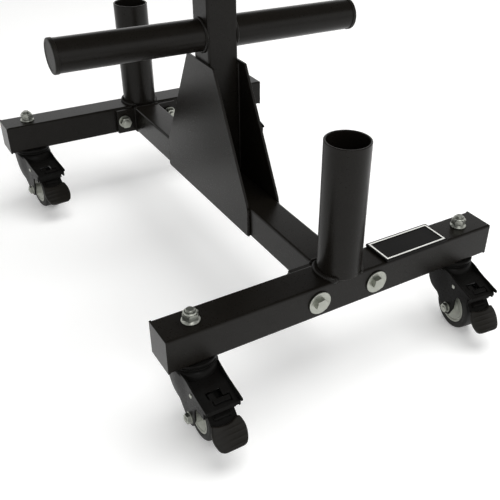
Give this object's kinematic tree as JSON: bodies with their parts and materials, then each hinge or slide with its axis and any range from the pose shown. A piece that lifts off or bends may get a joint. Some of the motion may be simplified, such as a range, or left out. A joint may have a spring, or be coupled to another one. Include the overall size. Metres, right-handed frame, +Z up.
{
  "type": "mobile plate tree",
  "caption": "Wheeled weight plate tree: an H-shaped square tube base on braked swivel casters, a mast with plate pegs on both sides and upright round bar holders.",
  "frame": {"origin": "bottom centre of the bounding box, on the floor under the casters", "axes": "+Z up, +X to the right along the base tubes and the pegs, -Y to the front"},
  "size_m": [0.536, 0.8426, 1.3639],
  "materials": {
    "powder_coat": "satin black powder coat",
    "zinc": "bright zinc plate",
    "black_steel": "gloss black coat on pressed steel",
    "black_plastic": "moulded",
    "grey_rim": "moulded, light grey",
    "tyre": "smooth",
    "badge": "satin, blank"
  },
  "bodies": {
    "frame": {"front_base_tube": "powder_coat", "rear_base_tube": "powder_coat", "centre_base_tube": "powder_coat", "front_flange_plate": "powder_coat", "rear_flange_plate": "powder_coat", "left_gusset_plate": "powder_coat", "right_gusset_plate": "powder_coat", "mast_tube": "powder_coat", "mast_cap": "black_plastic", "front_flange_bolt_left": "zinc", "front_flange_bolt_right": "zinc", "rear_flange_bolt_left": "zinc", "rear_flange_bolt_right": "zinc", "lower_left_peg": "powder_coat", "lower_left_peg_cap": "black_plastic", "lower_right_peg": "powder_coat", "lower_right_peg_cap": "black_plastic", "middle_left_peg": "powder_coat", "middle_left_peg_cap": "black_plastic", "middle_right_peg": "powder_coat", "middle_right_peg_cap": "black_plastic", "upper_left_peg": "powder_coat", "upper_left_peg_cap": "black_plastic", "upper_right_peg": "powder_coat", "upper_right_peg_cap": "black_plastic", "front_bar_holder": "powder_coat", "rear_bar_holder": "powder_coat", "badge_plate": "badge", "front_left_caster_stem": "black_steel", "front_left_stem_nut": "zinc", "front_right_caster_stem": "black_steel", "front_right_stem_nut": "zinc", "rear_left_caster_stem": "black_steel", "rear_left_stem_nut": "zinc", "rear_right_caster_stem": "black_steel", "rear_right_stem_nut": "zinc"},
    "front_left_fork": {"front_left_caster_fork": "black_steel", "front_left_axle_bolt": "zinc"},
    "front_left_wheel": {"front_left_wheel_rim": "grey_rim", "front_left_tyre": "tyre"},
    "front_left_brake": {"front_left_brake_lever": "black_steel", "front_left_brake_pedal": "black_plastic"},
    "front_right_fork": {"front_right_caster_fork": "black_steel", "front_right_axle_bolt": "zinc"},
    "front_right_wheel": {"front_right_wheel_rim": "grey_rim", "front_right_tyre": "tyre"},
    "front_right_brake": {"front_right_brake_lever": "black_steel", "front_right_brake_pedal": "black_plastic"},
    "rear_left_fork": {"rear_left_caster_fork": "black_steel", "rear_left_axle_bolt": "zinc"},
    "rear_left_wheel": {"rear_left_wheel_rim": "grey_rim", "rear_left_tyre": "tyre"},
    "rear_left_brake": {"rear_left_brake_lever": "black_steel", "rear_left_brake_pedal": "black_plastic"},
    "rear_right_fork": {"rear_right_caster_fork": "black_steel", "rear_right_axle_bolt": "zinc"},
    "rear_right_wheel": {"rear_right_wheel_rim": "grey_rim", "rear_right_tyre": "tyre"},
    "rear_right_brake": {"rear_right_brake_lever": "black_steel", "rear_right_brake_pedal": "black_plastic"}
  },
  "joints": [
    {"name": "front_left_swivel", "type": "hinge", "parent": "frame", "child": "front_left_fork", "pos_m": [-0.2235, -0.31202, 0.1119], "axis": [0, 0, 1], "continuous": true},
    {"name": "front_left_wheel_spin", "type": "hinge", "parent": "front_left_fork", "child": "front_left_wheel", "pos_m": [-0.22362, -0.34702, 0.0375], "axis": [1, -0.0035, 0], "continuous": true},
    {"name": "front_left_pedal", "type": "hinge", "parent": "front_left_fork", "child": "front_left_brake", "pos_m": [-0.22365, -0.35552, 0.0826], "axis": [1, -0.0035, 0], "range_deg": [0, 12]},
    {"name": "front_right_swivel", "type": "hinge", "parent": "frame", "child": "front_right_fork", "pos_m": [0.2235, -0.31202, 0.1119], "axis": [0, 0, 1], "continuous": true},
    {"name": "front_right_wheel_spin", "type": "hinge", "parent": "front_right_fork", "child": "front_right_wheel", "pos_m": [0.21954, -0.34679, 0.0375], "axis": [0.9936, -0.1132, 0], "continuous": true},
    {"name": "front_right_pedal", "type": "hinge", "parent": "front_right_fork", "child": "front_right_brake", "pos_m": [0.21858, -0.35524, 0.0826], "axis": [0.9936, -0.1132, 0], "range_deg": [0, 12]},
    {"name": "rear_left_swivel", "type": "hinge", "parent": "frame", "child": "rear_left_fork", "pos_m": [-0.2235, 0.38598, 0.1119], "axis": [0, 0, 1], "continuous": true},
    {"name": "rear_left_wheel_spin", "type": "hinge", "parent": "rear_left_fork", "child": "rear_left_wheel", "pos_m": [-0.22045, 0.35111, 0.0375], "axis": [0.9962, 0.0872, 0], "continuous": true},
    {"name": "rear_left_pedal", "type": "hinge", "parent": "rear_left_fork", "child": "rear_left_brake", "pos_m": [-0.21971, 0.34265, 0.0826], "axis": [0.9962, 0.0872, 0], "range_deg": [0, 12]},
    {"name": "rear_right_swivel", "type": "hinge", "parent": "frame", "child": "rear_right_fork", "pos_m": [0.2235, 0.38598, 0.1119], "axis": [0, 0, 1], "continuous": true},
    {"name": "rear_right_wheel_spin", "type": "hinge", "parent": "rear_right_fork", "child": "rear_right_wheel", "pos_m": [0.22106, 0.35107, 0.0375], "axis": [0.9976, -0.0698, 0], "continuous": true},
    {"name": "rear_right_pedal", "type": "hinge", "parent": "rear_right_fork", "child": "rear_right_brake", "pos_m": [0.22047, 0.34259, 0.0826], "axis": [0.9976, -0.0698, 0], "range_deg": [0, 12]}
  ]
}
